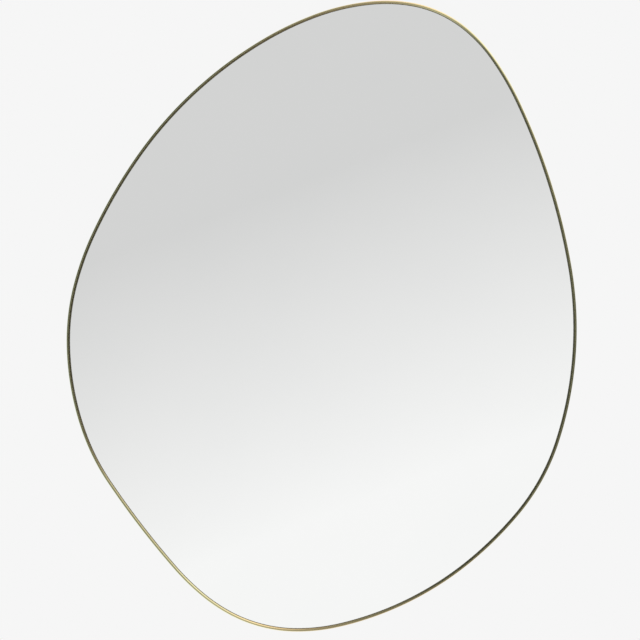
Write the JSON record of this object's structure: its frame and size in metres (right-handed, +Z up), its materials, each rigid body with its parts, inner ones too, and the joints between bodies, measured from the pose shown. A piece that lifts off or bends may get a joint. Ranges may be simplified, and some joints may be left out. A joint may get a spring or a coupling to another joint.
{
  "type": "irregular wall mirror",
  "caption": "Large wall mirror of irregular rounded outline: silvered glass set back in a thin brass-finished band, hung from the back.",
  "frame": {"origin": "on the wall's face, midway between the two wall hooks that the D rings hang on", "axes": "+X to the right and +Z up for someone who looks into the mirror, +Y into the wall; the wall is the plane y = 0"},
  "size_m": [0.8083, 0.026, 1],
  "materials": {
    "brass_band": "satin",
    "silvered_glass": "polished",
    "fibreboard": "matte",
    "foam_tape": "matte",
    "tab_steel": "satin",
    "strap_steel": "satin",
    "ring_steel": "polished",
    "screw_steel": "satin",
    "bumper_rubber": "matte"
  },
  "bodies": {
    "mirror": {"back_board": "fibreboard", "fixing_tab_01": "tab_steel", "fixing_tab_02": "tab_steel", "fixing_tab_03": "tab_steel", "fixing_tab_04": "tab_steel", "fixing_tab_05": "tab_steel", "fixing_tab_06": "tab_steel", "frame_band": "brass_band", "hanger_screws": "screw_steel", "hanger_strap_left": "strap_steel", "hanger_strap_right": "strap_steel", "mirror_glass": "silvered_glass", "mounting_tape_1": "foam_tape", "mounting_tape_2": "foam_tape", "mounting_tape_3": "foam_tape", "mounting_tape_4": "foam_tape", "mounting_tape_5": "foam_tape", "tab_screws": "screw_steel", "wall_bumper_lower_left": "bumper_rubber", "wall_bumper_lower_right": "bumper_rubber", "wall_bumper_upper_left": "bumper_rubber", "wall_bumper_upper_right": "bumper_rubber"},
    "left_ring": {"hang_ring_left": "ring_steel"},
    "right_ring": {"hang_ring_right": "ring_steel"}
  },
  "joints": [
    {"name": "left_ring_swing", "type": "hinge", "parent": "mirror", "child": "left_ring", "pos_m": [-0.2, -0.00445, -0.015], "axis": [1, 0, 0], "range_deg": [0, 177]},
    {"name": "right_ring_swing", "type": "hinge", "parent": "mirror", "child": "right_ring", "pos_m": [0.2, -0.00445, -0.015], "axis": [1, 0, 0], "range_deg": [0, 177]}
  ]
}
